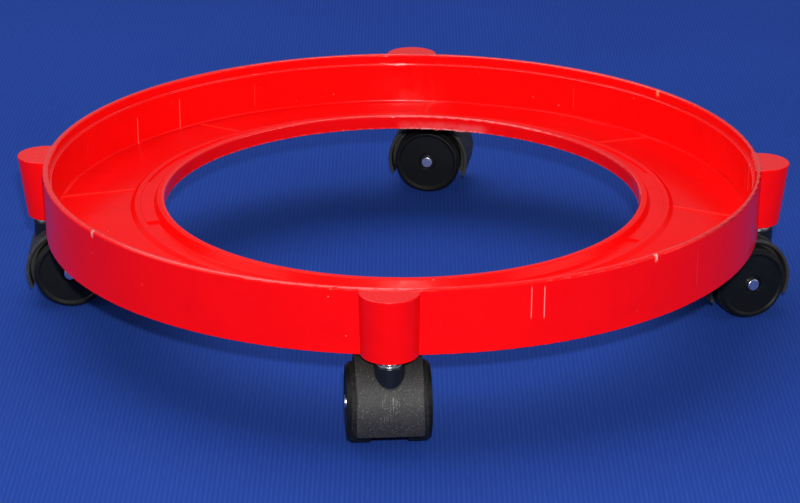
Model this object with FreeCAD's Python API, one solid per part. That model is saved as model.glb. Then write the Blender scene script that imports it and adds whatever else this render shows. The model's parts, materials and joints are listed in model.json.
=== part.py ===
"""Drum dolly: a round moulded tray with a hole through its floor, on four twin-wheel swivel casters.

Millimetres. +Z is up, the origin is on the ground under the middle of the tray, and -Y is the front.
"""
import FreeCAD, Part
import math
import os

V = FreeCAD.Vector
UP = V(0, 0, 1)

# ---- driving dimensions: tray -------------------------------------------------------------
rim_radius = 244.0          # outside of the wall
rim_thickness = 4.2         # wall thickness above the ledge
wall_draft = 0.8            # the wall's outside slims this much on its way down
rim_round = 1.8             # rounding of the rim's outer corner
rim_inner_round = 1.4
ledge_depth = 7.3           # rim top down to the small ledge inside the wall
ledge_width = 1.9           # how far the wall steps inwards at the ledge
floor_depth = 37.3          # rim top down to the floor, at the wall
floor_round = 1.5           # inside corner between wall and floor
sheet = 3.0                 # thickness of the moulded floor
skirt_drop = 3.0            # the skirt's edge lies this much below the underside of the floor
floor_rise = 7.0            # the floor climbs this much on its way in to the first step
floor_width = 52.3          # the wall in to the foot of the first step
step_height = 2.4           # first step, above the floor
step_width = 3.7            # land on top of the first step
step_round = 1.0
step_foot_round = 0.8
track_drop = 1.5            # the track between the steps lies this much below the land
track_width = 8.3
lip_depth = 23.9            # rim top down to the lip round the hole
lip_round = 1.3
lip_width = 5.1             # top of the last riser in to the hole
flange_height = 10.1        # the hole's edge turned down from the lip
draft = 3.0                 # radial run of each moulded riser
small_draft = 0.6           # the same, on the lowest risers
line_width = 1.8            # raised line on the floor over each rib
line_height = 0.7
rib_count = 8
rib_thickness = 2.2
first_rib = -95.3           # bearing of the first rib, degrees from +X
pad_arcs = ((-29.0, 15.0), (171.5, 197.0))   # raised lengths of the track, degrees
pad_height = 1.5

# ---- driving dimensions: caster sockets ----------------------------------------------------
socket_wall = 1.45          # plastic between the stem hole and the inside of the tray
socket_radius = 18.7
socket_taper = 0.8          # the socket is this much slimmer at its foot
socket_lean = 4.5           # its outer side slopes inwards this much on the way down
socket_below_rim = 1.0
socket_round = 0.6
first_socket = -91.75       # bearing of the front socket, degrees from +X
socket_depth = 24.0         # blind hole for the stem
socket_headroom = 2.0       # free depth above the stem

# ---- driving dimensions: caster ------------------------------------------------------------
wheel_radius = 25.0
wheel_inner = 11.6          # middle of the caster out to a wheel's inner face
tread_width = 11.4
face_stand = 3.0            # the wheel's outer face stands this far beyond its tread
tread_wall = 3.0            # thickness of the wheel under its tread
face_wall = 3.2             # thickness of the wheel's outer disc
hub_wall = 3.6
hub_recess_width = 2.0      # ring-shaped recess round the axle's end
hub_recess_depth = 1.5
shoulder = 2.2              # the tread's outer corner slopes in this much
face_rim_width = 1.4        # raised flat ring round the outer face
face_rim_height = 0.9
trail = 15.5                # stem's axis to axle's axis
hood_gap = 3.0              # tread to the inside of the hood
hood_thickness = 2.5
hood_width = 41.5
hood_round = 1.2
hood_below_axle = 11.5      # how far the hood's ends reach below the axle
web_margin = 3.5            # the round middle web is this much smaller than the wheels, radially
web_gap = 0.7               # middle web to each wheel
housing_radius = 9.5        # upright housing round the stem
housing_rise = 0.5          # stem housing stands above the hood
bridge_drop = 1.0           # from the housing's top down to the bridge that joins it to the hood
stem_radius = 5.5
stem_gap = 5.0              # top of the stem housing up to the socket's foot
stem_in_hood = 22.0
axle_radius = 4.0
axle_proud = 0.7            # the axle's ends stand this far beyond the wheels
spoke_count = 6
spoke_thickness = 1.6
washer_width = 2.4          # washer, from the stem outwards
washer_thickness = 1.2

# ---- fits ----------------------------------------------------------------------------------
swivel_clearance = 0.06     # stem in the hood, radial
wheel_clearance = 0.05      # wheel on the axle, radial
socket_clearance = 0.15     # stem in the tray, radial; the grip ring takes it up
ring_section = 1.2          # height of the retaining ring low on the stem
grip_section = 4.0          # height of the grip ring high on the stem
groove_depth = 0.7
ring_gap = 2.4              # the opening in each split ring
hidden_clearance = 0.3      # retaining ring inside the hood's groove
edge = 0.5                  # small broken edge
fine_edge = 0.3             # the smallest broken edge
overlap = 1.0               # how far one feature runs into the next, so that they join

# caster name: socket number and the direction in which it trails, degrees from +X
CASTERS = {
    "front": (0, 94.0),
    "right": (1, 200.0),
    "back": (2, -8.0),
    "left": (3, 3.0),
}

# ---- heights and radii worked out from the above -----------------------------------------------
hood_radius = wheel_radius + hood_gap + hood_thickness
hood_top = wheel_radius + hood_radius + housing_rise
skirt_z = hood_top + stem_gap
floor_z = skirt_z + skirt_drop + sheet
rim_z = floor_z + floor_depth
floor_in_z = floor_z + floor_rise
land_z = floor_in_z + step_height
track_z = land_z - track_drop
lip_z = rim_z - lip_depth
hole_foot_z = lip_z - flange_height

band_radius = rim_radius - rim_thickness
wall_radius = band_radius - ledge_width
step_radius = wall_radius - floor_width
land_radius = step_radius - draft
track_radius = land_radius - step_width
pad_radius = track_radius - track_width
lip_radius = pad_radius - draft
hole_radius = lip_radius - lip_width
socket_circle = wall_radius + socket_wall + stem_radius + socket_clearance

web_radius = wheel_radius - web_margin
wheel_outer = wheel_inner + tread_width + face_stand
axle_end = wheel_outer + axle_proud
washer_radius = stem_radius + washer_width
stem_top = skirt_z + socket_depth - socket_headroom
stem_foot = hood_top - stem_in_hood
grip_z = stem_top - 2 * grip_section
retainer_z = stem_foot + 4 * ring_section


def rounded_face(corners, to_point):
    """Face inside a closed outline of (a, b, round) corners; to_point turns (a, b) into a 3-D point."""
    count = len(corners)
    starts = []
    ends = []
    mids = []
    for i in range(count):
        here = V(corners[i][0], corners[i][1], 0)
        before = V(corners[i - 1][0], corners[i - 1][1], 0)
        after = V(corners[(i + 1) % count][0], corners[(i + 1) % count][1], 0)
        towards = (before - here).normalize()
        away = (after - here).normalize()
        half = towards.getAngle(away) / 2
        cut = corners[i][2] / math.tan(half)
        inwards = (towards + away).normalize()
        starts.append(here + towards * cut)
        ends.append(here + away * cut)
        mids.append(here + inwards * corners[i][2] * (1 / math.sin(half) - 1))
    edges = []
    for i in range(count):
        a, b, m = (to_point(p.x, p.y) for p in (starts[i], ends[i], mids[i]))
        if corners[i][2] > 0:
            edges.append(Part.Arc(a, m, b).toShape())
        following = to_point(starts[(i + 1) % count].x, starts[(i + 1) % count].y)
        edges.append(Part.LineSegment(b, following).toShape())
    return Part.Face(Part.Wire(edges))


def upright(r, z):
    """Point of a profile that turns about Z."""
    return V(r, 0, z)


def beside_axle(a, r):
    """Point of a profile that turns about the axle: a along the axle, r out from it."""
    return V(trail, a, wheel_radius + r)


def turned(corners):
    return rounded_face(corners, upright).revolve(V(0, 0, 0), UP, 360)


def turned_on_axle(corners):
    return rounded_face(corners, beside_axle).revolve(V(trail, 0, wheel_radius), V(0, 1, 0), 360)


def cylinder(radius, low, high, x=0.0, y=0.0):
    return Part.makeCylinder(radius, high - low, V(x, y, low), UP)


def pin_on_axle(radius, low, high):
    return Part.makeCylinder(radius, high - low, V(trail, low, wheel_radius), V(0, 1, 0))


def about_z(shape, degrees):
    placed = shape.copy()
    placed.rotate(V(0, 0, 0), UP, degrees)
    return placed


def ring_sector(inner, outer, low, high, start, stop):
    """Part of a flat ring between two bearings."""
    face = rounded_face(
        ((inner, low, 0.0), (outer, low, 0.0), (outer, high, edge), (inner, high, edge)), upright)
    return about_z(face.revolve(V(0, 0, 0), UP, stop - start), start)


def solid_of(shape):
    """The one solid of a shape, with the seams between its faces taken out."""
    return shape.removeSplitter().Solids[0]


# ---- tray --------------------------------------------------------------------------------------
def tray_shell():
    return turned((
        (rim_radius - wall_draft, skirt_z, edge),
        (rim_radius, rim_z, rim_round),
        (band_radius, rim_z, rim_inner_round),
        (band_radius, rim_z - ledge_depth, fine_edge),
        (wall_radius, rim_z - ledge_depth, edge),
        (wall_radius, floor_z, floor_round),
        (step_radius, floor_in_z, step_foot_round),
        (land_radius, land_z, step_round),
        (track_radius, land_z, edge),
        (track_radius - small_draft, track_z, fine_edge),
        (pad_radius, track_z, edge),
        (lip_radius, lip_z, step_round),
        (hole_radius, lip_z, lip_round),
        (hole_radius, hole_foot_z, fine_edge),
        (hole_radius + sheet, hole_foot_z, edge),
        (hole_radius + sheet + small_draft, track_z - sheet, edge),
        (track_radius, track_z - sheet, edge),
        (step_radius, floor_in_z - sheet, step_round),
        (wall_radius, floor_z - sheet, edge),
        (wall_radius, skirt_z, edge),
    ))


def floor_line(bearing):
    """Low raised line along the sloping floor, over a rib."""
    run = wall_radius - step_radius
    slope = math.atan2(floor_rise, run)
    length = run / math.cos(slope)
    bar = Part.makeBox(length, line_width, 2 * line_height, V(0, -line_width / 2, -line_height))
    bar.rotate(V(0, 0, 0), V(0, 1, 0), math.degrees(slope))
    bar.translate(V(step_radius, 0, floor_in_z))
    return about_z(bar, bearing)


def under_rib(bearing):
    """Web below the floor, from the flange's foot out to the skirt."""
    inner = hole_radius + sheet / 2
    buried = sheet / 2
    side = rounded_face((
        (inner, hole_foot_z + edge, 0.0),
        (wall_radius + overlap, skirt_z + skirt_drop / 4, 0.0),
        (wall_radius + overlap, floor_z - buried, 0.0),
        (step_radius, floor_in_z - buried, 0.0),
        (track_radius, track_z - buried, 0.0),
        (inner, track_z - buried, 0.0),
    ), upright)
    side.translate(V(0, -rib_thickness / 2, 0))
    return about_z(side.extrude(V(0, rib_thickness, 0)), bearing)


def track_pad(start, stop):
    low = track_z - edge
    return ring_sector(pad_radius - overlap, track_radius, low, track_z + pad_height, start, stop)


def socket_bearing(number):
    return first_socket + 90.0 * number


def socket(number):
    """Closed-topped socket that stands half out of the wall, with its outer side sloping inwards."""
    top = rim_z - socket_below_rim
    rings = []
    for radius, x, z in (
        (socket_radius - socket_taper, socket_circle - socket_lean, skirt_z),
        (socket_radius, socket_circle, top),
    ):
        rings.append(Part.Wire(Part.makeCircle(radius, V(x, 0, z), UP)))
    body = Part.makeLoft(rings, True, True)
    ends = [e for e in body.Edges if e.BoundBox.ZLength < edge]
    body = body.makeFillet(socket_round, ends)
    outside = cylinder(rim_radius + 2 * socket_radius, skirt_z - overlap, rim_z)
    outside = outside.cut(cylinder(wall_radius + sheet / 2, skirt_z - overlap, rim_z))
    return about_z(body.common(outside), socket_bearing(number))


def stem_hole(number):
    radius = stem_radius + socket_clearance
    hole = cylinder(radius, skirt_z - overlap, skirt_z + socket_depth, socket_circle)
    return about_z(hole, socket_bearing(number))


def make_tray():
    bearings = [first_rib + 360.0 / rib_count * i for i in range(rib_count)]
    ribs = [under_rib(bearing) for bearing in bearings]
    lines = [floor_line(bearing) for bearing in bearings]
    pads = [track_pad(*arc) for arc in pad_arcs]
    sockets = [socket(number) for number in range(4)]
    shape = tray_shell().fuse(ribs + lines + pads + sockets)
    return solid_of(shape.cut([stem_hole(number) for number in range(4)]))


# ---- caster, built with its stem on Z and trailing along +X ----------------------------------------
def split_ring(inner, outer, low, high):
    ring = cylinder(outer, low, high).cut(cylinder(inner, low - overlap, high + overlap))
    height = high - low + 2 * overlap
    gap = Part.makeBox(outer + overlap, ring_gap, height, V(0, -ring_gap / 2, low - overlap))
    return ring.cut(gap)


def make_stem():
    groove = stem_radius - groove_depth
    body = rounded_face((
        (0.0, stem_foot, 0.0),
        (stem_radius, stem_foot, edge),
        (stem_radius, stem_top, 2 * edge),
        (0.0, stem_top, 0.0),
    ), upright).revolve(V(0, 0, 0), UP, 360)
    for low, height in ((grip_z, grip_section), (retainer_z, ring_section)):
        around = cylinder(stem_radius + overlap, low, low + height)
        body = body.cut(around.cut(cylinder(groove, low, low + height)))
    return solid_of(body)


def make_grip_ring():
    groove = stem_radius - groove_depth
    return split_ring(groove, stem_radius + socket_clearance, grip_z, grip_z + grip_section)


def make_retainer():
    groove = stem_radius - groove_depth
    return split_ring(groove, stem_radius + groove_depth, retainer_z, retainer_z + ring_section)


def make_washer():
    bore = stem_radius + swivel_clearance
    top = hood_top + washer_thickness
    return turned((
        (bore, hood_top, 0.0),
        (washer_radius, hood_top, fine_edge),
        (washer_radius, top, fine_edge),
        (bore, top, 0.0),
    ))


def hood_shell():
    """Part-round cover over both treads, with rounded rims and ends."""
    half = hood_width / 2
    inner = hood_radius - hood_thickness
    face = rounded_face((
        (-half, inner, edge),
        (half, inner, edge),
        (half, hood_radius, hood_round),
        (-half, hood_radius, hood_round),
    ), beside_axle)
    centre = V(trail, 0, wheel_radius)
    below = math.degrees(math.asin(hood_below_axle / hood_radius))
    face.rotate(centre, V(0, 1, 0), -90.0 - below)
    shell = face.revolve(centre, V(0, 1, 0), 180.0 + 2 * below)
    roll_radius = hood_thickness / 2
    middle = hood_radius - roll_radius
    across = half - hood_round
    for side in (-1, 1):
        x = trail + side * middle * math.cos(math.radians(below))
        z = wheel_radius - middle * math.sin(math.radians(below))
        shell = shell.fuse(Part.makeCylinder(roll_radius, 2 * across, V(x, -across, z), V(0, 1, 0)))
    return shell


def make_hood():
    """Cover, middle web, and the upright housing that the stem turns in."""
    web_half = wheel_inner - web_gap
    web = pin_on_axle(web_radius, -web_half, web_half)
    filling = pin_on_axle(hood_radius - hood_thickness / 2, -web_half, web_half)
    size = 2 * hood_radius
    corner = V(trail - hood_radius, -hood_radius, wheel_radius - hood_below_axle)
    above = Part.makeBox(size, size, size, corner)
    housing = cylinder(housing_radius, wheel_radius, hood_top)
    height = hood_top - bridge_drop - wheel_radius
    bridge = Part.makeBox(trail, 2 * housing_radius, height, V(0, -housing_radius, wheel_radius))
    shape = hood_shell().fuse([web, filling.common(above), housing, bridge])
    bore = cylinder(stem_radius + swivel_clearance, stem_foot - edge, hood_top + overlap)
    groove_low = retainer_z - hidden_clearance
    groove_high = retainer_z + ring_section + hidden_clearance
    groove = cylinder(stem_radius + groove_depth + hidden_clearance, groove_low, groove_high)
    axle_hole = pin_on_axle(axle_radius, -hood_width, hood_width)
    return solid_of(shape.cut([bore, groove, axle_hole]))


def make_axle():
    body = pin_on_axle(axle_radius, -axle_end, axle_end)
    rims = [e for e in body.Edges if isinstance(e.Curve, Part.Circle)]
    return body.makeFillet(edge, rims)


def make_wheel(side):
    """One wheel, side -1 or +1 along the axle: hub, spokes, a dished outer face and a plain tread."""
    bore = axle_radius + wheel_clearance
    hub = bore + hub_wall
    rim = wheel_radius - tread_wall
    disc = wheel_outer - face_wall
    dish = wheel_outer - face_rim_height
    recess = dish - hub_recess_depth
    recess_edge = bore + hub_recess_width
    corners = (
        (wheel_inner, bore, 0.0),
        (wheel_inner, hub, fine_edge),
        (disc, hub, edge),
        (disc, rim, edge),
        (wheel_inner, rim, fine_edge),
        (wheel_inner, wheel_radius, edge),
        (wheel_inner + tread_width, wheel_radius, 3 * edge),
        (wheel_outer, wheel_radius - shoulder, edge),
        (wheel_outer, wheel_radius - shoulder - face_rim_width, edge),
        (dish, wheel_radius - shoulder - face_rim_width - face_rim_height, edge),
        (dish + face_rim_height / 2, hub, edge),
        (dish + face_rim_height / 2, recess_edge + fine_edge, fine_edge),
        (recess, recess_edge, fine_edge),
        (recess, bore, 0.0),
    )
    wheel = turned_on_axle(tuple((side * a, r, round_) for a, r, round_ in corners))
    length = disc + overlap - wheel_inner - fine_edge
    start = wheel_inner + fine_edge if side > 0 else -disc - overlap
    low = hub - overlap
    spokes = []
    for i in range(spoke_count):
        corner = V(trail - spoke_thickness / 2, start, wheel_radius + low)
        bar = Part.makeBox(spoke_thickness, length, rim + overlap - low, corner)
        bar.rotate(V(trail, 0, wheel_radius), V(0, 1, 0), 360.0 / spoke_count * i)
        spokes.append(bar)
    return solid_of(wheel.fuse(spokes))


def place(shape, number, direction):
    """Turn a caster piece to its rest direction and carry it to its socket."""
    placed = about_z(shape, direction)
    bearing = math.radians(socket_bearing(number))
    placed.translate(V(socket_circle * math.cos(bearing), socket_circle * math.sin(bearing), 0))
    return placed


CASTER_PIECES = {
    "stem": make_stem(),
    "grip_ring": make_grip_ring(),
    "retaining_ring": make_retainer(),
    "washer": make_washer(),
    "hood": make_hood(),
    "axle": make_axle(),
    "wheel_a": make_wheel(-1),
    "wheel_b": make_wheel(1),
}

os.makedirs("parts", exist_ok=True)
nodes = {"tray": make_tray()}
for caster, (number, direction) in CASTERS.items():
    for piece, shape in CASTER_PIECES.items():
        nodes[caster + "_" + piece] = place(shape, number, direction)
for name, shape in nodes.items():
    if not shape.isValid() or shape.Volume <= 0:
        raise ValueError(name + " is not a sound solid")
    shape.exportStep("parts/" + name + ".step")
    print(name, len(shape.Solids), round(shape.Volume / 1000, 2), "cm3")
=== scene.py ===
# %% [markdown]
# # A drum dolly: a red ring tray on four twin-wheel casters
#
# The imported parts give the shape. This lesson gives them their finishes, adds the thin moulding
# details that are too ragged for a solid model, and sets up a small studio.

# %% [markdown]
# ## The parts
#
# Every part arrives in metres, standing on the ground with its front towards -Y. The object's own
# box is kept now, and the rim's height is read from it.

# %% Load the parts
import json
import math
import random

import bmesh
import bpy
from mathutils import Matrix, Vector


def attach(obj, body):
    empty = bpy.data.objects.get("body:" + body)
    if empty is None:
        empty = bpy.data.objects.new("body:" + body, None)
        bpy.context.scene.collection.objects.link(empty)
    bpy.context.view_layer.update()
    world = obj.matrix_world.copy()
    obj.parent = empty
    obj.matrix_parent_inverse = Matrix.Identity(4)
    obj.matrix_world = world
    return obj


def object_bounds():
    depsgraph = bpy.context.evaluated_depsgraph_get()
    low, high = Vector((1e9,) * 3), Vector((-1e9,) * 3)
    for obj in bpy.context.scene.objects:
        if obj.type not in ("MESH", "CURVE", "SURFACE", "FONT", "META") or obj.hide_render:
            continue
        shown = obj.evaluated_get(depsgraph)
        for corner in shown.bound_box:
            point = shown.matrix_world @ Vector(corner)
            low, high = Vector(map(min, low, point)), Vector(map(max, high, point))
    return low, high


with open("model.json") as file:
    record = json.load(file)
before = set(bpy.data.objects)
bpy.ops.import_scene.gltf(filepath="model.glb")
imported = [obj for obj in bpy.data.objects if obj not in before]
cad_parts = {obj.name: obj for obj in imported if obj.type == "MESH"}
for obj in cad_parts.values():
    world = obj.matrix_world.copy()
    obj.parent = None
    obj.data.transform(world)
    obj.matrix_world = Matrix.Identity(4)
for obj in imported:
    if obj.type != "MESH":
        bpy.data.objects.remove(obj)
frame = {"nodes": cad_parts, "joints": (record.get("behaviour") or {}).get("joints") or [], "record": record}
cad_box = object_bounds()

record = frame["record"]

# %% [markdown]
# ## Sizes read from the model
#
# The finishes need to know where the rim, the floor and the hole are. Heights come from the
# object's box and from the record's mounts, so they stay right if the model changes a little.
# Millimetres are easier to think in than metres here, so the sizes are kept in millimetres.

# %% Sizes in millimetres
MM = 0.001
rim_thickness = 4.2
ledge_width = 1.9
ledge_depth = 7.3
floor_depth = 37.3
flange_height = 10.1
step_from_hole = 23.1
cover_radius = 30.5
housing_radius = 9.5
wheel_radius = 25.0

mounts = {mount["name"]: mount for mount in record["mounts"]}
rim_z = cad_box[1].z / MM
band_radius = mounts["drum_well"]["dims"]["r_mm"]
rim_radius = band_radius + rim_thickness
wall_radius = band_radius - ledge_width
ledge_z = rim_z - ledge_depth
lip_z = mounts["lip_rest"]["pos_m"][2] / MM
hole_foot_z = lip_z - flange_height
hole_radius = mounts["floor_hole"]["dims"]["r_mm"]
floor_z = rim_z - floor_depth
print(f"rim {rim_z:.1f}, lip {lip_z:.1f}, floor {floor_z:.1f}, hole radius {hole_radius:.1f}")

# %% [markdown]
# ## Where each caster stands
#
# Every caster has three joints: one for its swivel and one for each wheel. The swivel's joint
# gives the upright line that the caster turns about, and a wheel's joint gives the middle of the
# axle and the way that it points. The way the caster trails is square to its axle.

# %% Caster places
CASTERS = ("front", "right", "back", "left")
joints = {joint["name"]: joint for joint in frame["joints"]}


class CasterPlace:
    """Where one caster stands, in millimetres, and the way it trails."""

    def __init__(self, name):
        swivel = joints[name + "_swivel"]
        spin = joints[name + "_wheel_a_spin"]
        self.name = name
        self.body = swivel["child"]
        self.pivot = Vector(swivel["pos_m"]) / MM
        self.axle = Vector(spin["pos_m"]) / MM
        self.across = Vector(spin["axis"])
        self.along = Vector((self.across.y, -self.across.x, 0.0))
        self.trail = (self.axle - self.pivot).dot(self.along)

    def point(self, along, across, height):
        """A point in metres, from distances in millimetres along and across the caster."""
        here = self.pivot + self.along * along + self.across * across
        return Vector((here.x, here.y, height)) * MM


places = {name: CasterPlace(name) for name in CASTERS}
for place in places.values():
    print(place.name, "caster stands at", [round(v) for v in place.pivot])

# %% [markdown]
# ## A small class for finishes
#
# A finish is a network of nodes. Writing it as sums makes it readable: each Flow holds one value
# on its way through the network, and arithmetic on it adds the Math node that does the same.
# Everything that isn't arithmetic comes from the one method named node.


# %% The Flow class
class Flow:
    """One value on its way through a finish's nodes."""

    def __init__(self, tree, socket=None):
        self.tree = tree
        self.socket = socket

    def node(self, kind, settings=None, values=None, output=0):
        """Adds a node: its settings first, then the values or links of its sockets."""
        made = self.tree.nodes.new("ShaderNode" + kind)
        for name, value in (settings or {}).items():
            if name == "stops":
                set_stops(made.color_ramp, value)
            else:
                setattr(made, name, value)
        for name, value in (values or {}).items():
            if isinstance(value, Flow):
                self.tree.links.new(value.socket, made.inputs[name])
            else:
                made.inputs[name].default_value = value
        return Flow(self.tree, made.outputs[output]) if len(made.outputs) else made

    def math(self, operation, *others):
        values = {0: self}
        for place, other in enumerate(others, start=1):
            values[place] = other
        return self.node("Math", {"operation": operation}, values)

    def __add__(self, other):
        return self.math("ADD", other)

    def __radd__(self, other):
        return self.math("ADD", other)

    def __mul__(self, other):
        return self.math("MULTIPLY", other)

    def __rmul__(self, other):
        return self.math("MULTIPLY", other)

    def __sub__(self, other):
        return self.math("SUBTRACT", other)

    def __rsub__(self, other):
        return self.node("Math", {"operation": "SUBTRACT"}, {0: other, 1: self})

    def __truediv__(self, other):
        return self.math("DIVIDE", other)

    def most(self, other):
        """The larger of the two values."""
        return self.math("MAXIMUM", other)

    def ramp(self, low, high):
        """0 below low, 1 above high, and a smooth rise between them. High may be below low."""
        edges = {"Value": self, "From Min": low, "From Max": high}
        return self.node("MapRange", {"interpolation_type": "SMOOTHSTEP"}, edges)

    def between(self, low, high, soft):
        """1 from low to high, and 0 outside, with edges that wide."""
        return self.ramp(low - soft, low) * self.ramp(high + soft, high)

    def part(self, place):
        """One of a vector's three numbers."""
        return self.node("SeparateXYZ", values={0: self}, output=place)


def set_stops(color_ramp, stops):
    """Gives a color ramp these (place, color) stops."""
    while len(color_ramp.elements) < len(stops):
        color_ramp.elements.new(0.5)
    for element, (position, color) in zip(color_ramp.elements, stops):
        element.position = position
        element.color = (*color, 1.0)


# %% [markdown]
# ## Helpers that every finish shares
#
# Noise drives most of a finish: large noise for slow changes of colour, fine noise for grain,
# and noise that is stretched in one direction for scratches. A bump needs real heights, so heights
# are given in millimetres and turned into metres in one place.


# %% Finish helpers
def vector(flow, x, y, z):
    """A vector from three values."""
    return flow.node("CombineXYZ", values={0: x, 1: y, 2: z})


def noise(where, scale, detail=2.0, roughness=0.5, distortion=0.0):
    """Soft noise from 0 to 1 at a vector place, with scale per unit of place."""
    values = {"Vector": where, "Scale": scale, "Detail": detail}
    values["Roughness"] = roughness
    values["Distortion"] = distortion
    return where.node("TexNoise", values=values)


def mix_color(amount, first, second):
    """Blends two colours, with amount from 0 for the first to 1 for the second."""
    values = {0: amount, 6: first, 7: second}
    return amount.node("Mix", {"data_type": "RGBA"}, values, output=2)


def rgb(red, green, blue):
    return (red, green, blue, 1.0)


def bump(height_mm, strength=1.0):
    """A normal for a surface that is raised by so many millimetres."""
    values = {"Height": height_mm, "Distance": MM, "Strength": strength}
    return height_mm.node("Bump", values=values)


def specks(where, size, share, radius):
    """Small round spots: share is how many cells hold one, radius is a fraction of a cell."""
    cells = {"Vector": where, "Scale": 1.0 / size}
    distance = where.node("TexVoronoi", values=cells, output="Distance")
    chance = where.node("TexVoronoi", values=cells, output="Color").part(0)
    return distance.ramp(radius, radius * 0.6) * chance.ramp(share, share * 0.95)


def new_finish(name):
    """An empty finish: its material, a starting Flow, and the place on the part in millimetres."""
    material = bpy.data.materials.new(name)
    material.use_nodes = True
    material.node_tree.nodes.clear()
    start = Flow(material.node_tree)
    place = start.node("TexCoord", output="Object")
    scaled = {0: place, "Scale": 1.0 / MM}
    return material, start, start.node("VectorMath", {"operation": "SCALE"}, scaled)


def close_finish(start, values):
    """Adds the shader with these socket values, and joins it to the output."""
    shader = start.node("BsdfPrincipled", values=values)
    start.node("OutputMaterial", values={"Surface": shader})


# %% [markdown]
# ## Red moulded plastic
#
# The tray is one moulding in a semi-gloss red. Plastic like this is never one flat colour: the
# pigment is a little uneven, the gloss is broken by fine scuffs, the inside of the wall has
# upright scrapes from drums going in and out, and the edges are rubbed pale. Opposite the
# moulding gate the two flows of plastic met, which left a thin knit line with ripples round it.
#
# The tray is round, so the finish works in distance from the middle, bearing round the ring and
# height. That lets each mark be put where it is on the real tray by its bearing.

# %% Marks on the tray
# Bearing in degrees, half width in degrees, lowest and highest height in mm, and strength.
OUTER_SCRAPES = (
    (-71.2, 0.10, 82.0, 99.0, 0.75),
    (-69.2, 0.11, 81.0, 98.0, 0.85),
    (-40.0, 0.04, 74.0, 94.0, 0.20),
    (152.0, 0.06, 79.0, 98.0, 0.30),
    (60.0, 0.06, 74.0, 94.0, 0.30),
)
INNER_SCRAPES = (
    (144.6, 0.13, 67.5, 85.0, 0.45),
    (134.1, 0.11, 69.0, 89.0, 0.40),
    (1.2, 0.13, 79.0, 98.0, 0.55),
    (-0.8, 0.10, 80.0, 104.0, 0.45),
    (0.3, 0.08, 82.0, 100.0, 0.35),
    (3.8, 0.08, 78.0, 94.0, 0.30),
    (118.0, 0.05, 74.0, 88.0, 0.15),
    (57.0, 0.05, 76.0, 90.0, 0.15),
    (-100.0, 0.07, 74.0, 94.0, 0.30),
    (-47.0, 0.07, 74.0, 94.0, 0.30),
    (200.0, 0.07, 74.0, 94.0, 0.30),
)
# Bearing and half width in degrees, and the colour left behind.
RIM_NICKS = (
    (-143.6, 0.40, rgb(0.95, 0.42, 0.38)),
    (-49.7, 0.36, rgb(0.95, 0.45, 0.40)),
    (38.4, 0.45, rgb(0.72, 0.36, 0.16)),
)
knit_bearing = 86.0
line_bearing = 39.7
line_spacing = 45.0


def around(bearing, centre):
    """Degrees from a bearing, the short way round."""
    away = bearing - centre
    return away.math("WRAP", 180.0, -180.0).math("ABSOLUTE")


def scrapes(bearing, height, marks):
    """A mask of upright scrapes at their bearings."""
    mask = None
    for centre, half, low, high, strength in marks:
        line = around(bearing, centre).ramp(half, half * 0.5)
        one = line * height.between(low, high, 3.0) * strength
        mask = one if mask is None else mask.most(one)
    return mask


# %% [markdown]
# The tray's finish is built from masks. Each one says where a mark is, and then it lightens the
# colour, roughens the gloss or raises the surface there.


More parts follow.
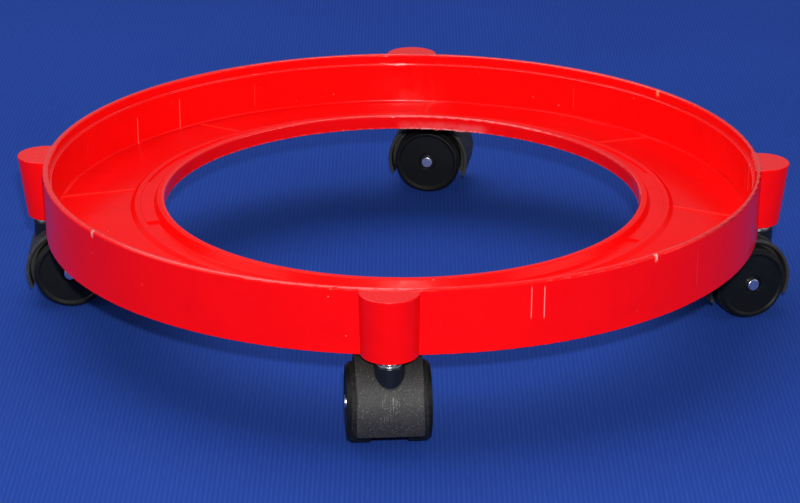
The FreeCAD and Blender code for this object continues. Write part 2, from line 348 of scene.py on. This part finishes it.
# %% The tray's finish
def make_tray_finish():
    """The semi-gloss red of the tray."""
    material, start, place = new_finish("red_moulded_plastic")
    x, y, height = place.part(0), place.part(1), place.part(2)
    radius = (x * x + y * y).math("SQRT")
    bearing = y.math("ARCTAN2", x) * (180 / math.pi)
    arc = bearing * (wall_radius * math.pi / 180)

    outside = radius.ramp(rim_radius - 2.6, rim_radius - 1.6)
    above = height.ramp(floor_z - 1.5, floor_z - 0.5)
    inside = radius.between(wall_radius - 1.2, band_radius + 0.6, 0.4) * above
    floor = radius.ramp(wall_radius - 0.5, wall_radius - 2.0) * above

    slow = noise(place, 0.011, detail=3.0)
    cloudy = noise(place, 0.045, detail=4.0, roughness=0.6)
    grain = noise(place, 2.4, detail=3.0, roughness=0.7)
    upright_lines = noise(vector(start, arc * 1.1, radius, height * 0.03), 1.0, detail=4.0)
    round_lines = noise(vector(start, arc * 0.03, radius * 1.6, height * 1.6), 1.0, detail=4.0)
    scuffed = noise(place, 0.08, detail=3.0).ramp(0.50, 0.72)

    scraped = scrapes(bearing, height, OUTER_SCRAPES) * outside
    scraped = scraped.most(scrapes(bearing, height, INNER_SCRAPES) * inside)
    fine = upright_lines.ramp(0.66, 0.78) * (inside.most(outside * 0.5)) * scuffed
    fine = fine.most(round_lines.ramp(0.68, 0.80) * floor * scuffed)

    above_band = radius.ramp(band_radius - 0.5, band_radius + 0.5)
    top_edge = height.ramp(rim_z - 1.6, rim_z - 0.4) * above_band
    chafed = top_edge * noise(place, 0.55, detail=4.0, roughness=0.65).ramp(0.60, 0.74)
    flange = radius.ramp(hole_radius + 4.0, hole_radius + 1.0)
    stressed_part = around(bearing, 79.0).ramp(13.0, 9.0)
    stressed = flange * stressed_part * height.ramp(lip_z - 2.5, lip_z - 7.5)
    stressed = stressed * noise(place, 0.10, detail=3.0).ramp(0.30, 0.62)
    torn_edge = flange * height.ramp(hole_foot_z + 1.4, hole_foot_z + 0.3)
    torn_edge = torn_edge * noise(place, 0.45, detail=4.0).ramp(0.44, 0.60)
    torn_part = stressed_part.most(around(bearing, 187.0).ramp(11.0, 8.0))
    torn_part = torn_part.most(around(bearing, -4.5).ramp(9.5, 7.0))
    pale_edge = torn_edge * (0.12 + 0.75 * torn_part)

    from_line = (bearing - line_bearing).math("WRAP", line_spacing / 2, -line_spacing / 2)
    from_line = from_line.math("ABSOLUTE") * radius * (math.pi / 180)
    step = hole_radius + step_from_hole
    beyond_step = radius.ramp(step - 1.1, step + 0.9)
    # Painted highlight: a lighter red streak along each floor line, beyond the step.
    painted_line_highlight = from_line.ramp(1.3, 0.7) * floor * beyond_step
    corners = top_edge.most(height.between(ledge_z - 0.9, ledge_z + 0.3, 0.3) * inside)
    lip = radius.between(hole_radius, hole_radius + 1.6, 0.4) * height.ramp(lip_z - 2.0, lip_z - 1.0)
    corners = corners.most(lip)

    spots = specks(place, 9.0, 0.35, 0.045)
    dust = specks(place, 3.0, 0.20, 0.06)
    sides = inside * around(bearing, 180.0).ramp(40.0, 25.0).most(around(bearing, 0.0).ramp(40.0, 25.0))
    side_specks = specks(place, 2.4, 0.30, 0.10) * sides * scuffed

    # colour
    color = mix_color(slow, rgb(0.80, 0.0016, 0.0022), rgb(0.92, 0.0030, 0.0028))
    color = mix_color(cloudy.ramp(0.45, 0.75) * 0.35, color, rgb(0.74, 0.0012, 0.0030))
    # painted highlight along the floor lines
    color = mix_color(painted_line_highlight * 0.45, color, rgb(1.0, 0.045, 0.035))
    color = mix_color(fine * 0.16, color, rgb(0.95, 0.22, 0.19))
    color = mix_color(scraped * 0.70, color, rgb(0.95, 0.30, 0.28))
    color = mix_color(chafed * 0.30, color, rgb(0.95, 0.30, 0.27))
    color = mix_color(stressed * 0.16, color, rgb(0.92, 0.36, 0.38))
    color = mix_color(pale_edge, color, rgb(0.92, 0.42, 0.42))
    color = mix_color(spots * 0.7, color, rgb(0.92, 0.40, 0.34))
    color = mix_color(dust * 0.20, color, rgb(0.85, 0.36, 0.30))
    color = mix_color(side_specks * 0.80, color, rgb(0.92, 0.46, 0.42))
    for centre, half, left_behind in RIM_NICKS:
        nick = around(bearing, centre).ramp(half, half * 0.6) * height.ramp(rim_z - 5.5, rim_z - 2.5)
        nick = nick * noise(place, 1.1, detail=3.0).ramp(0.38, 0.55)
        marked = outside.most(inside) * height.ramp(ledge_z - 0.5, ledge_z + 0.5)
        color = mix_color(nick * marked * 0.85, color, left_behind)

    # gloss
    rough = 0.18 + 0.08 * cloudy + 0.04 * grain
    rough = rough + fine * 0.12 + scraped * 0.25 + chafed * 0.18 + stressed * 0.15

    # relief, in millimetres
    knit = around(bearing, knit_bearing)
    near_knit = knit.ramp(6.0, 1.0)
    ripples = noise(vector(start, arc * 0.16, radius * 0.02, height * 0.07), 1.0, detail=1.0)
    relief = ripples * near_knit * inside * 0.9
    relief = relief + noise(vector(start, arc * 0.035, radius * 0.05, height * 0.05), 1.0) * 0.35
    relief = relief - knit.ramp(0.16, 0.05) * (inside.most(floor)) * 0.10
    relief = relief + grain * 0.0030 - scraped * 0.05 - fine * 0.010 - chafed * 0.02
    relief = relief + round_lines * floor * 0.006 + upright_lines * inside * 0.008

    close_finish(start, {
        "Base Color": color,
        "Roughness": rough,
        "Normal": bump(relief),
        "IOR": 1.49,
        "Specular IOR Level": 0.13,
        "Coat Weight": corners.most(near_knit * inside * height.ramp(floor_z + 12.0, floor_z + 3.0)),
        "Coat Roughness": 0.12,
    })
    return material


# %% Put it on the tray
def wear(node_name, material):
    """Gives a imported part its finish."""
    node = frame["nodes"][node_name]
    node.data.materials.clear()
    node.data.materials.append(material)


wear("tray", make_tray_finish())
print("the tray is finished")

# %% [markdown]
# ## Dark hood plastic
#
# A caster's hood is moulded in a mould whose steel was spark eroded, which leaves an even, coarse
# grain; its sparkle is painted glint, light flecks on the grain's peaks. The stem's housing was
# polished instead, so it is smoother, and darker partly through painted shade under the tray's boss.
# The hood's finish works in the caster's own directions: along its trail, across it along the axle,
# and up. Each hood therefore gets its own copy of the finish, with its own place.


# %% The hood's finish
def own_directions(place, caster):
    """Distances along and across a caster, and the distance from its axle's centre line."""
    x, y, height = place.part(0), place.part(1), place.part(2)
    east = x - caster.axle.x
    north = y - caster.axle.y
    along = east * caster.along.x + north * caster.along.y
    across = east * caster.across.x + north * caster.across.y
    up = height - caster.axle.z
    from_axle = (along * along + up * up).math("SQRT")
    return along, across, up, from_axle


def make_hood_finish(caster):
    material, start, place = new_finish("hood_plastic_" + caster.name)
    along, across, up, from_axle = own_directions(place, caster)
    x, y = place.part(0), place.part(1)
    east, north = x - caster.pivot.x, y - caster.pivot.y
    from_stem = (east * east + north * north).math("SQRT")

    cover = from_axle.between(cover_radius - 0.9, cover_radius + 0.4, 0.3)
    # the polished housing round the stem: smoother, and its darker colour is partly painted shade under the
    # tray's boss
    polished_nose_and_shade = from_axle.ramp(cover_radius + 0.3, cover_radius + 0.8)
    polished_nose_and_shade = polished_nose_and_shade * from_stem.ramp(housing_radius + 0.9, housing_radius + 0.4)
    grain = noise(place, 1.7, detail=2.0, roughness=0.6)
    fine_grain = noise(place, 4.2, detail=2.0, roughness=0.7)
    blotches = noise(place, 0.12, detail=3.0)
    # painted glint: light flecks on the grain's peaks stand in for its sparkle
    painted_glint_flecks = grain.ramp(0.60, 0.72) * cover
    edge = across.math("ABSOLUTE").ramp(19.2, 20.3) * cover
    edge_rub = edge * noise(place, 0.35, detail=3.0).ramp(0.45, 0.65)
    lines = noise(vector(start, across * 2.2, along * 0.12, up * 0.12), 1.0, detail=2.0)
    front_scuff = across.between(-5.0, 4.0, 2.0) * up.between(2.0, 16.0, 3.0)
    front_scuff = front_scuff * lines.ramp(0.60, 0.72) * cover * along.ramp(-20.0, -24.0)
    dust = specks(place, 4.0, 0.3, 0.06)

    color = mix_color(blotches, rgb(0.014, 0.014, 0.015), rgb(0.028, 0.027, 0.026))
    # the painted glint flecks lighten the colour
    color = mix_color(painted_glint_flecks * 0.8, color, rgb(0.22, 0.215, 0.20))
    color = mix_color(edge_rub * 0.30, color, rgb(0.09, 0.088, 0.082))
    color = mix_color(front_scuff * 0.75, color, rgb(0.30, 0.29, 0.26))
    # darker housing colour: polished plastic, partly painted shade under the boss
    color = mix_color(polished_nose_and_shade, color, rgb(0.005, 0.006, 0.008))
    color = mix_color(dust * 0.30, color, rgb(0.22, 0.21, 0.20))
    rough = 0.44 + 0.16 * fine_grain - painted_glint_flecks * 0.12 - polished_nose_and_shade * 0.16
    relief = grain * 0.26 * (1 - polished_nose_and_shade * 0.92) + fine_grain * 0.03
    close_finish(start, {
        "Base Color": color,
        "Roughness": rough,
        "Normal": bump(relief),
        "IOR": 1.5,
        "Specular IOR Level": 0.35,
    })
    return material


# %% [markdown]
# ## Black wheel plastic
#
# The wheels are black nylon. Their faces are smooth with a satin sheen and faint rings left by the
# mould's turning, and the treads are dulled and a little grey from rolling over grit.


# %% The wheel's finish
def make_wheel_finish(caster):
    material, start, place = new_finish("wheel_plastic_" + caster.name)
    along, across, up, from_axle = own_directions(place, caster)
    turn = up.math("ARCTAN2", along)
    tread = from_axle.ramp(wheel_radius - 0.7, wheel_radius - 0.2)
    shoulder = from_axle.between(wheel_radius - 2.4, wheel_radius - 0.4, 0.3)
    rings = noise(vector(start, from_axle * 2.4, turn * 0.15, across * 0.2), 1.0, detail=3.0)
    cloudy = noise(place, 0.10, detail=4.0)
    grain = noise(place, 2.6, detail=3.0, roughness=0.65)
    grit = noise(vector(start, across * 0.9, turn * 9.0, from_axle), 1.0, detail=5.0, roughness=0.7)
    scuffs = noise(vector(start, along * 0.5, up * 2.0, across), 0.6, detail=3.0).ramp(0.66, 0.74)
    dust = specks(place, 3.2, 0.3, 0.07)

    color = mix_color(cloudy, rgb(0.0025, 0.003, 0.0035), rgb(0.005, 0.0055, 0.006))
    color = mix_color(tread * grit.ramp(0.40, 0.75) * 0.5, color, rgb(0.050, 0.046, 0.040))
    color = mix_color(shoulder * grit.ramp(0.5, 0.8) * 0.25, color, rgb(0.06, 0.06, 0.055))
    color = mix_color(scuffs * 0.25, color, rgb(0.07, 0.07, 0.07))
    color = mix_color(dust * 0.30, color, rgb(0.20, 0.19, 0.18))
    rough = 0.36 + 0.10 * cloudy + 0.06 * grain + tread * 0.22 + scuffs * 0.10
    relief = rings * (1 - tread) * 0.014 + grain * 0.008 + tread * grit * 0.06
    close_finish(start, {
        "Base Color": color,
        "Roughness": rough,
        "Normal": bump(relief),
        "IOR": 1.5,
        "Specular IOR Level": 0.20,
    })
    return material


# %% [markdown]
# ## Plated steel and spring steel
#
# Stem, axle and washer are bright zinc-plated steel: bluish, with fine lines from drawing the
# wire and soft clouds in the plating. The split rings are darker, oiled spring steel.


# %% The steel finishes
def make_steel_finish(name, dark, bright, rough_low, rough_span):
    material, start, place = new_finish(name)
    clouds = noise(place, 0.5, detail=4.0)
    drawn = noise(vector(start, place.part(0) * 4.0, place.part(1) * 4.0, place.part(2) * 0.4), 1.0)
    pits = specks(place, 0.9, 0.3, 0.18)
    color = mix_color(clouds, rgb(*dark), rgb(*bright))
    color = mix_color(pits * 0.4, color, rgb(0.22, 0.22, 0.21))
    rough = rough_low + rough_span * clouds + 0.08 * drawn
    relief = drawn * 0.010 - pits * 0.010
    close_finish(start, {
        "Base Color": color,
        "Metallic": 1.0,
        "Roughness": rough,
        "Normal": bump(relief),
    })
    return material


plated_steel = make_steel_finish("plated_steel", (0.58, 0.62, 0.68), (0.82, 0.86, 0.92), 0.20, 0.14)
spring_steel = make_steel_finish("spring_steel", (0.20, 0.20, 0.21), (0.38, 0.38, 0.40), 0.30, 0.16)

# %% Put the finishes on the casters
for place in places.values():
    wear(place.name + "_hood", make_hood_finish(place))
    wheel_finish = make_wheel_finish(place)
    wear(place.name + "_wheel_a", wheel_finish)
    wear(place.name + "_wheel_b", wheel_finish)
    for piece in ("stem", "axle", "washer"):
        wear(place.name + "_" + piece, plated_steel)
    for piece in ("grip_ring", "retaining_ring"):
        wear(place.name + "_" + piece, spring_steel)
print("casters finished:", len(places))

# %% [markdown]
# ## Flash at the edge of the hole
#
# Where the two halves of the mould meet, a thin ragged film of plastic squeezes out. On this tray
# it hangs from the foot of the hole's flange in three places, torn and bleached where it was
# trimmed. It is modelled as a thin closed strip whose height changes
# from point to point.

# %% Strip builder
random.seed(7)


def mesh_piece(name, verts, faces, material, body):
    """A mesh that rides on a body and takes its finish from a slot."""
    mesh = bpy.data.meshes.new(name)
    mesh.from_pydata(verts, [], faces)
    built = bmesh.new()
    built.from_mesh(mesh)
    bmesh.ops.recalc_face_normals(built, faces=built.faces)
    built.to_mesh(mesh)
    built.free()
    for face in mesh.polygons:
        face.use_smooth = True
    mesh.materials.append(material)
    piece = bpy.data.objects.new(name, mesh)
    bpy.context.scene.collection.objects.link(piece)
    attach(piece, body)
    return piece


def closed_strip(rings):
    """Joins rings of points into one closed skin, with a cap at each end."""
    count = len(rings[0])
    verts = [point for ring in rings for point in ring]
    faces = []
    for step in range(len(rings) - 1):
        for corner in range(count):
            after = (corner + 1) % count
            low, high = step * count, (step + 1) * count
            faces.append((low + corner, low + after, high + after, high + corner))
    faces.append(tuple(range(count)))
    faces.append(tuple(range(len(verts) - count, len(verts))))
    return verts, faces


def ragged(steps, lowest, highest, tear):
    """Heights along a torn edge: a slow wander with sharp tears, tapered at both ends."""
    heights = []
    level = lowest
    for step in range(steps + 1):
        level += random.uniform(-1.0, 1.0) * (highest - lowest) * 0.35
        level = min(max(level, lowest), highest)
        torn = level * (0.35 if random.random() < tear else 1.0)
        taper = min(1.0, 4.0 * step / steps, 4.0 * (steps - step) / steps)
        heights.append(torn * taper)
    return heights


# %% [markdown]
# The film's finish is the tray's red gone pale and pinkish, because stretched plastic turns white.


# %% Flash finish and pieces
def make_flash_finish():
    material, start, place = new_finish("bleached_red_flash")
    cloudy = noise(place, 0.5, detail=4.0)
    torn = noise(place, 1.4, detail=4.0, roughness=0.7)
    color = mix_color(cloudy.ramp(0.35, 0.65), rgb(0.80, 0.06, 0.06), rgb(0.93, 0.46, 0.44))
    color = mix_color(torn.ramp(0.60, 0.75) * 0.5, color, rgb(0.95, 0.70, 0.68))
    rough = 0.38 + 0.2 * torn
    values = {"Base Color": color, "Roughness": rough, "Normal": bump(torn * 0.08), "IOR": 1.49}
    close_finish(start, values)
    return material


flash_finish = make_flash_finish()
# Name, first and last bearing in degrees, and the least and most height in mm.
FLASH = (
    ("hole_flash_back", 66.0, 92.0, 0.15, 0.9),
    ("hole_flash_left", 177.5, 197.0, 0.2, 0.8),
    ("hole_flash_right", -13.0, 3.8, 0.2, 0.8),
)
flash_thickness = 0.32


def flash_strip(start_bearing, stop_bearing, lowest, highest):
    """Rings of points for a film that hangs from the foot of the flange."""
    steps = int((stop_bearing - start_bearing) * 4)
    heights = ragged(steps, lowest, highest, tear=0.15)
    rings = []
    for step, hang in enumerate(heights):
        bearing = math.radians(start_bearing + (stop_bearing - start_bearing) * step / steps)
        lean = random.uniform(-0.15, 0.25)
        near = hole_radius + 0.35
        top, foot = hole_foot_z + 0.6, hole_foot_z - 0.05 - hang
        ring = []
        for radius, height in (
            (near, top),
            (near + flash_thickness, top),
            (near + flash_thickness * 0.7 - lean, foot),
            (near - lean, foot),
        ):
            ring.append((radius * math.cos(bearing) * MM, radius * math.sin(bearing) * MM, height * MM))
        rings.append(ring)
    return rings


for name, first, last, lowest, highest in FLASH:
    verts, faces = closed_strip(flash_strip(first, last, lowest, highest))
    mesh_piece(name, verts, faces, flash_finish, "tray")
print("flash strips:", len(FLASH))

# %% [markdown]
# ## Parting line on each hood
#
# The hood's mould opens along the middle of the caster, and a fine ridge runs over the cover where
# its halves met. The ridge is a slim raised strip that follows the cover from below the stem's
# housing to the lower edge, in front and behind.

# %% Parting lines
ridge_half_width = 0.22
ridge_height = 0.14


def ridge_rings(caster, first_angle, last_angle, steps=40):
    """Rings of a low ridge over the cover, with angles in degrees about the axle."""
    rings = []
    for step in range(steps + 1):
        share = step / steps
        angle = math.radians(first_angle + (last_angle - first_angle) * share)
        taper = min(1.0, 8 * share, 8 * (1 - share))
        ring = []
        for across, radius in (
            (-ridge_half_width, cover_radius - 0.10),
            (-ridge_half_width * 0.4, cover_radius + ridge_height * taper),
            (ridge_half_width * 0.4, cover_radius + ridge_height * taper),
            (ridge_half_width, cover_radius - 0.10),
        ):
            along = caster.trail + radius * math.cos(angle)
            ring.append(caster.point(along, across, caster.axle.z + radius * math.sin(angle)))
        rings.append(ring)
    return rings


for place in places.values():
    for side, first, last in (("front", 160.0, 199.0), ("back", 82.0, -19.0)):
        verts, faces = closed_strip(ridge_rings(place, first, last))
        name = f"{place.name}_hood_parting_line_{side}"
        finish = frame["nodes"][place.name + "_hood"].data.materials[0]
        mesh_piece(name, verts, faces, finish, place.body)
print("parting lines:", 2 * len(places))

# %% [markdown]
# ## Studio floor
#
# A plain blue cloth that reaches far beyond the view, with a fine weave. It isn't part of the
# object. A dark cloth also keeps stray light off the black casters.


# %% Floor
def make_floor_finish():
    material, start, place = new_finish("blue_studio_cloth")
    clouds = noise(place, 0.004, detail=3.0)
    x, y = place.part(0), place.part(1)
    weave = (x * 2.1).math("SINE") * 0.5 + 0.5
    threads = noise(vector(start, x * 0.5, y * 0.06, 0.0), 1.0, detail=3.0)
    color = mix_color(clouds, rgb(0.008, 0.036, 0.24), rgb(0.014, 0.050, 0.30))
    color = mix_color(weave * threads * 0.5, color, rgb(0.028, 0.090, 0.42))
    rough = 0.80 + 0.1 * threads
    values = {"Base Color": color, "Roughness": rough, "Normal": bump(weave * 0.15)}
    values["Specular IOR Level"] = 0.1
    close_finish(start, values)
    return material


floor_half = 6.0
floor_mesh = bpy.data.meshes.new("studio_floor")
corners = [(-floor_half, -floor_half, 0), (floor_half, -floor_half, 0)]
corners += [(floor_half, floor_half, 0), (-floor_half, floor_half, 0)]
floor_mesh.from_pydata(corners, [], [(0, 1, 2, 3)])
floor_mesh.materials.append(make_floor_finish())
studio_floor = bpy.data.objects.new("studio_floor", floor_mesh)
bpy.context.scene.collection.objects.link(studio_floor)

# %% [markdown]
# ## Light
#
# A broad panel overhead gives the soft light of an open sky. A small lamp near the camera gives
# the bright glints on the rounded edges. Two soft lamps light the sides of the wall, and the world
# fills the shadows.


# %% Lamps and world
def area_lamp(name, position, target, size, power, color):
    light = bpy.data.lights.new(name, "AREA")
    light.shape = "DISK"
    light.size = size
    light.energy = power
    light.color = color
    lamp = bpy.data.objects.new(name, light)
    lamp.location = position
    lamp.rotation_euler = (Vector(target) - Vector(position)).to_track_quat("-Z", "Y").to_euler()
    bpy.context.scene.collection.objects.link(lamp)
    return lamp


area_lamp("sky_panel", (-0.5, 0.7, 2.2), (0, 0, 0.05), 2.4, 34.0, (0.95, 0.97, 1.0))
area_lamp("camera_lamp", (0.03, -1.78, 0.84), (0, 0, 0.06), 0.05, 33.0, (1.0, 0.98, 0.94))
for side in (-1, 1):
    area_lamp(f"side_fill_{side}", (side * 1.8, -0.6, 0.7), (0, 0, 0.05), 1.4, 7.0, (1.0, 0.98, 0.95))

world = bpy.data.worlds.new("soft_sky")
world.use_nodes = True
background = world.node_tree.nodes["Background"]
background.inputs["Color"].default_value = rgb(0.86, 0.92, 1.0)
background.inputs["Strength"].default_value = 0.25
bpy.context.scene.world = world
bpy.context.scene.view_settings.view_transform = "Standard"

# %% [markdown]
# ## Camera
#
# The camera looks down at the tray from the front. Its distance is measured from the middle of
# the rim's top, and it aims a little below that point so that the casters sit inside the frame.

# %% Camera
camera_distance = 1.8453
camera_elevation = math.radians(19.011)
camera_down_tilt = math.radians(21.023)
camera_turn = math.radians(0.042)

lens = bpy.data.cameras.new("view_camera")
lens.sensor_width = 36.0
lens.lens = 121.5
camera = bpy.data.objects.new("view_camera", lens)
back_off = -camera_distance * math.cos(camera_elevation)
rise = rim_z * MM + camera_distance * math.sin(camera_elevation)
camera.location = (0, back_off, rise)
camera.rotation_euler = (math.pi / 2 - camera_down_tilt, 0, camera_turn)
bpy.context.scene.collection.objects.link(camera)
bpy.context.scene.camera = camera
print("camera at", [round(v, 3) for v in camera.location])
